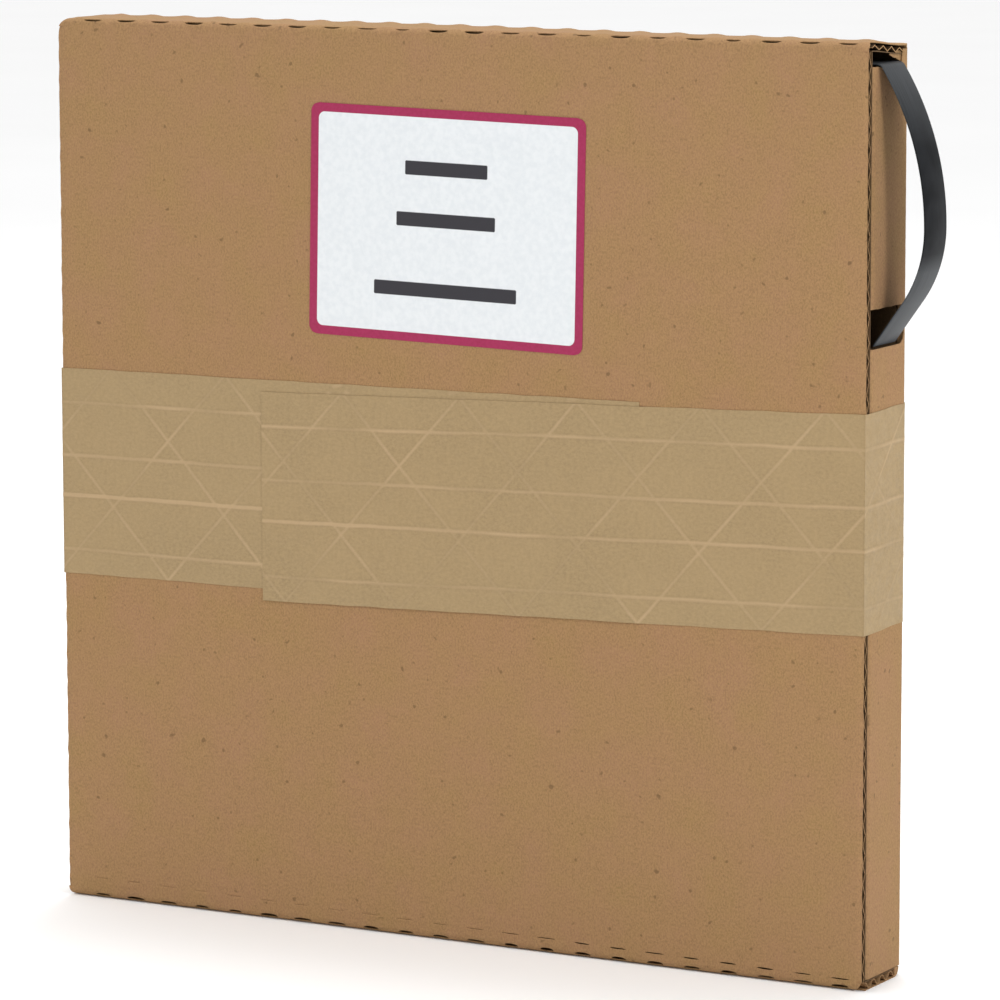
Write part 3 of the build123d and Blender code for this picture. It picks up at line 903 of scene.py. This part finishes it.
def build_label():
    wide, tall = LABEL_SIZE
    u = np.linspace(-1, 1, 90)
    v = np.concatenate([np.linspace(-1, -0.92, 8)[:-1], np.linspace(-0.92, 0.92, 56),
                        np.linspace(0.92, 1, 8)[1:]])
    up = v[:, None] * tall / 2 + 0 * u
    over = np.clip(np.abs(up) - (tall / 2 - LABEL_CORNER), 0, LABEL_CORNER)
    half = wide / 2 - LABEL_CORNER + np.sqrt(LABEL_CORNER**2 - over**2)
    across = u[None, :] * half
    c, s = math.cos(LABEL_TURN), math.sin(LABEL_TURN)
    x = label_centre.x + c * across - s * up
    z = label_centre.z + s * across + c * up
    edge = np.maximum(np.abs(across) / (wide / 2), np.abs(up) / (tall / 2))
    lift = (0.02 * (1 + noise(x, z, 14 * MM, 131)) + 0.03 * ramp(edge, 0.93, 1)) * MM
    y = label_low.y + 0.06 * MM - lift
    points = np.stack([x, y, z], -1).reshape(-1, 3)
    thick, faces = shell(points, grid_faces(*x.shape), 0.1 * MM)
    made = piece("label_sheet", thick, faces, label_material(), replaces=["label"])
    layer = made.data.uv_layers.new(name="print")
    place = np.array([vertex.co for vertex in made.data.vertices])
    dx, dz = place[:, 0] - label_centre.x, place[:, 2] - label_centre.z
    uv = np.stack([c * dx + s * dz + wide / 2, -s * dx + c * dz + tall / 2], -1)
    corners = np.empty(len(made.data.loops), int)
    made.data.loops.foreach_get("vertex_index", corners)
    layer.data.foreach_set("uv", uv[corners].reshape(-1))


build_label()


# ---------------------------------------------------------------- strap
STRAP_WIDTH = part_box("strap_coil")[1].y * 2
STRAP = 0.508 * MM
lead_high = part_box("strap_lead")[1].z
LEAD_Z = lead_high - STRAP / 2
BENDS = ((2.0 * MM, 57), (92.0 * MM, 33), (40.0 * MM, 36))     # radius, and turn in degrees
CREASE_X = 149.6 * MM           # the first bend starts here
TAIL = 16.5 * MM


def strap_line():
    """Stretches of the strap's middle line as (length, point at distance, heading at distance)."""
    stretches = [(CREASE_X, Vector((0, LEAD_Z)), 0.0, None)]
    point, heading = Vector((CREASE_X, LEAD_Z)), 0.0
    for radius, turn in BENDS:
        turn = math.radians(turn)
        stretches.append((radius * turn, point.copy(), heading, radius))
        point = point + arc_step(radius, heading, turn)
        heading -= turn
    stretches.append((TAIL, point.copy(), heading, None))
    return stretches


def arc_step(radius, heading, turn):
    """From the start of a bend to the point reached after turning towards the floor."""
    centre = Vector((math.sin(heading), -math.cos(heading))) * radius
    return centre - Vector((math.sin(heading - turn), -math.cos(heading - turn))) * radius


STRETCHES = strap_line()
LENGTHS = [stretch[0] for stretch in STRETCHES]
STARTS = [sum(LENGTHS[:i]) for i in range(len(LENGTHS) + 1)]


def strap_at(distance):
    """Point (x, z) and heading on the strap's middle line."""
    for (length, point, heading, radius), start in zip(STRETCHES, STARTS):
        if distance <= start + length + 1e-9:
            break
    gone = distance - start
    if radius is None:
        return point + Vector((math.cos(heading), math.sin(heading))) * gone, heading
    return point + arc_step(radius, heading, gone / radius), heading - gone / radius


def strap_section():
    """Rolled edges: the strip's outline across its width, as (across, thickness) pairs."""
    half_w, half_t = STRAP_WIDTH / 2, STRAP / 2
    soft = 0.16 * MM
    ring = []
    for side_w, side_t, first in ((1, 1, 90), (1, -1, 0), (-1, -1, -90), (-1, 1, 180)):
        for step in range(4):
            a = math.radians(first - 30 * step)
            ring.append((side_w * (half_w - soft) + soft * math.cos(a),
                         side_t * (half_t - soft) + soft * math.sin(a)))
    return ring


# Away from the bow the strap's outside gets the painted reflection.
steel_outside = steel_material("strap_steel_outside", (STARTS[2], STARTS[3] + 11 * MM))


def strap_piece(name, start, end, node, step=0.6 * MM, body=None):
    """The strip from start to end, as distances along it."""
    count = max(3, math.ceil((end - start) / step) + 1)
    ring = strap_section()
    points, lengths = [], []
    for distance in np.linspace(start, end, count):
        middle, heading = strap_at(float(distance))
        up = Vector((-math.sin(heading), math.cos(heading)))
        for across, thick in ring:
            points.append((middle.x + up.x * thick, across, middle.y + up.y * thick))
            lengths.append(distance)
    size = len(ring)
    faces = []
    for row in range(count - 1):
        for k in range(size):
            a, b = row * size + k, row * size + (k + 1) % size
            faces.append((a, b, b + size, a + size))
    mesh = bpy.data.meshes.new(name)
    caps = [tuple(range(size))[::-1], tuple((count - 1) * size + k for k in range(size))]
    mesh.from_pydata(points, [], faces + caps)
    mesh.update()
    mesh.shade_smooth()
    mesh.set_sharp_from_angle(angle=STRAP_SHARP_ANGLE)
    mesh.materials.append(steel_outside)
    layer = mesh.uv_layers.new(name="strip")
    corners = np.empty(len(mesh.loops), int)
    mesh.loops.foreach_get("vertex_index", corners)
    uv = np.stack([np.array(lengths), np.array(points)[:, 1]], -1)
    layer.data.foreach_set("uv", uv[corners].reshape(-1))
    made = bpy.data.objects.new(name, mesh)
    bpy.context.scene.collection.objects.link(made)
    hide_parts(node)
    if body:
        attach(made, body)
    return made


def strap_blend(name, start, end, node):
    """A stretch of the strap, on no body, with its placement baked into its points."""
    made = strap_piece(name, start, end, node)
    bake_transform(made)


def build_strap():
    crease_end, bow_end, lower_end, tail_end = STARTS[2], STARTS[3], STARTS[4], STARTS[5]
    bow_quarter = crease_end + LENGTHS[2] / 4
    bow_late = crease_end + LENGTHS[2] * 3 / 4
    lower_middle = bow_end + LENGTHS[3] / 2
    lead_end = STARTS[1] - 1.5 * MM
    strap_piece("strap_inside", 0, lead_end, "strap_lead", step=5 * MM, body="lead")
    strap_blend("strap_at_exit", lead_end, bow_quarter,
                "strap_bow_upper")
    strap_blend("strap_shoulder", bow_quarter, bow_late,
                "strap_bow_middle")
    strap_blend("strap_belly", bow_late, lower_middle,
                "strap_bow_lower")
    strap_blend("strap_tail_end", lower_middle, tail_end,
                "strap_tail")


build_strap()


# ---------------------------------------------------------------- coil
COIL_INNER = 78.1 * MM


def build_coil():
    """One strip wound from the eye outwards, every turn on the one before."""
    low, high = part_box("strap_coil")
    centre_z = (low.z + high.z) / 2
    outer = high.x
    turns = (outer - COIL_INNER) / STRAP
    steps = 72
    index = np.arange(int(turns * steps) + 1)
    angle = index / steps * 2 * math.pi
    radius = COIL_INNER + STRAP * index / steps
    place = math.pi / 2 + (angle[-1] - angle)
    shift = 0.22 * MM * noise(index / steps, 0 * index, 2.2, 141) * ramp(index, 0, steps)
    half = STRAP_WIDTH / 2 - 0.25 * MM
    thick = STRAP * 0.94
    rings = []
    for reach, side in ((0, -1), (thick, -1), (thick, 1), (0, 1)):
        r = np.minimum(radius + reach, outer)
        rings.append(np.stack([r * np.cos(place), side * half + shift,
                               centre_z + r * np.sin(place)], -1))
    points = np.stack(rings, 1).reshape(-1, 3)
    count = len(index)
    base = np.arange(count - 1) * 4
    faces = np.vstack([np.stack([base + k, base + (k + 1) % 4, base + 4 + (k + 1) % 4,
                                 base + 4 + k], -1) for k in range(4)])
    last = (count - 1) * 4
    caps = [[3, 2, 1, 0], [last, last + 1, last + 2, last + 3]]
    faces = np.vstack([faces, caps])
    made = piece("wound_coil", points, faces, steel, "coil", replaces=["strap_coil"])
    layer = made.data.uv_layers.new(name="strip")
    corners = np.empty(len(made.data.loops), int)
    made.data.loops.foreach_get("vertex_index", corners)
    along = np.repeat(radius * angle / 2, 4)
    uv = np.stack([along, points[:, 1]], -1)
    layer.data.foreach_set("uv", uv[corners].reshape(-1))


build_coil()


# ---------------------------------------------------------------- CAD nodes that stay
# Inner liners that stay are drawn darker, in painted shade; the fluting gets the dark cut-board
# paper.
KEPT_SLOTS = {"kraft_liner": shaded_inner_kraft, "fluting": cut_board, "folded_board": kraft}
SEEN_BOTTOM = ("bottom_outer_liner", "bottom_medium")
for entry in frame["record"]["subparts"]:
    node = frame["nodes"][entry["node"]]
    material = KEPT_SLOTS.get(entry["material_slot"])
    if material is None or node.hide_render:
        continue
    if entry["node"] in SEEN_BOTTOM:
        material = kraft
    for material_slot in node.material_slots:
        material_slot.material = material


# ---------------------------------------------------------------- floor, light and camera
def build_stage():
    """A white floor, an even studio sky that is darker on the right, and three softboxes."""
    bpy.ops.mesh.primitive_plane_add(size=24, location=(0, 4, -0.0001))
    floor = bpy.context.active_object
    floor.name = "floor"
    n = Nodes("pale_floor")
    color = n.mix(n.map(n.noise(3, 2.0), 0.3, 0.7), (0.97, 0.97, 0.97, 1), (0.99, 0.99, 0.99, 1))
    floor.data.materials.append(n.set(color=color, roughness=0.8, specular=0.05))

    world = bpy.data.worlds.new("studio")
    bpy.context.scene.world = world
    world.use_nodes = True
    tree = world.node_tree
    direction = tree.nodes.new("ShaderNodeTexCoord").outputs["Generated"]
    split = tree.nodes.new("ShaderNodeSeparateXYZ")
    tree.links.new(direction, split.inputs[0])

    def sky_level(axis, start, end, level_at_start, level_at_end):
        node = tree.nodes.new("ShaderNodeMapRange")
        tree.links.new(split.outputs[axis], node.inputs["Value"])
        for key, value in (("From Min", start), ("From Max", end), ("To Min", level_at_start),
                           ("To Max", level_at_end)):
            node.inputs[key].default_value = value
        return node.outputs[0]

    strength = tree.nodes.new("ShaderNodeMath")
    strength.operation = "MULTIPLY"
    tree.links.new(sky_level("Z", 0.1, 0.8, 0.62, 1.24), strength.inputs[0])
    tree.links.new(sky_level("X", 0.05, 0.75, 1.0, 0.52), strength.inputs[1])
    back = tree.nodes["Background"]
    back.inputs["Color"].default_value = (1.0, 1.0, 1.0, 1)
    tree.links.new(strength.outputs[0], back.inputs["Strength"])

    def softbox(name, place, aim, size, power):
        light = bpy.data.lights.new(name, "AREA")
        light.shape = "RECTANGLE"
        light.size, light.size_y = size
        light.energy = power
        made = bpy.data.objects.new(name, light)
        bpy.context.scene.collection.objects.link(made)
        made.location = place
        made.rotation_euler = (Vector(aim) - Vector(place)).to_track_quat("-Z", "Y").to_euler()

    middle = (0, 0, HEIGHT / 2)
    softbox("key", (1.5, -0.55, 1.05), middle, (0.3, 0.3), 12)
    softbox("fill", (-1.3, -1.7, 1.2), middle, (0.9, 0.9), 3)
    softbox("top", (-0.1, 0.45, 1.75), middle, (0.6, 0.6), 11)


def build_camera():
    """The view of the front from its right, a little above, through a long lens."""
    yaw, pitch, roll = (math.radians(a) for a in (29.27, 8.32, -0.11))
    stand = Vector((2.905, -5.067, 1.344))      # from the foot of the front, in carton heights
    look = Vector((-math.sin(yaw) * math.cos(pitch), math.cos(yaw) * math.cos(pitch),
                   -math.sin(pitch)))
    right = Vector((math.cos(yaw), math.sin(yaw), 0))
    up = right.cross(look)
    tilted_right = right * math.cos(roll) + up * math.sin(roll)
    tilted_up = up * math.cos(roll) - right * math.sin(roll)
    camera = bpy.data.objects.new("camera", bpy.data.cameras.new("camera"))
    bpy.context.scene.collection.objects.link(camera)
    place = Vector((0, FRONT_Y, 0)) + HEIGHT * stand
    turned = Matrix((tilted_right, tilted_up, -look)).transposed().to_4x4()
    camera.matrix_world = Matrix.Translation(place) @ turned
    camera.data.sensor_width = 36
    camera.data.lens = 195.8
    camera.data.clip_start = 0.05
    bpy.context.scene.camera = camera


build_stage()
build_camera()
bpy.context.scene.view_settings.view_transform = "Standard"
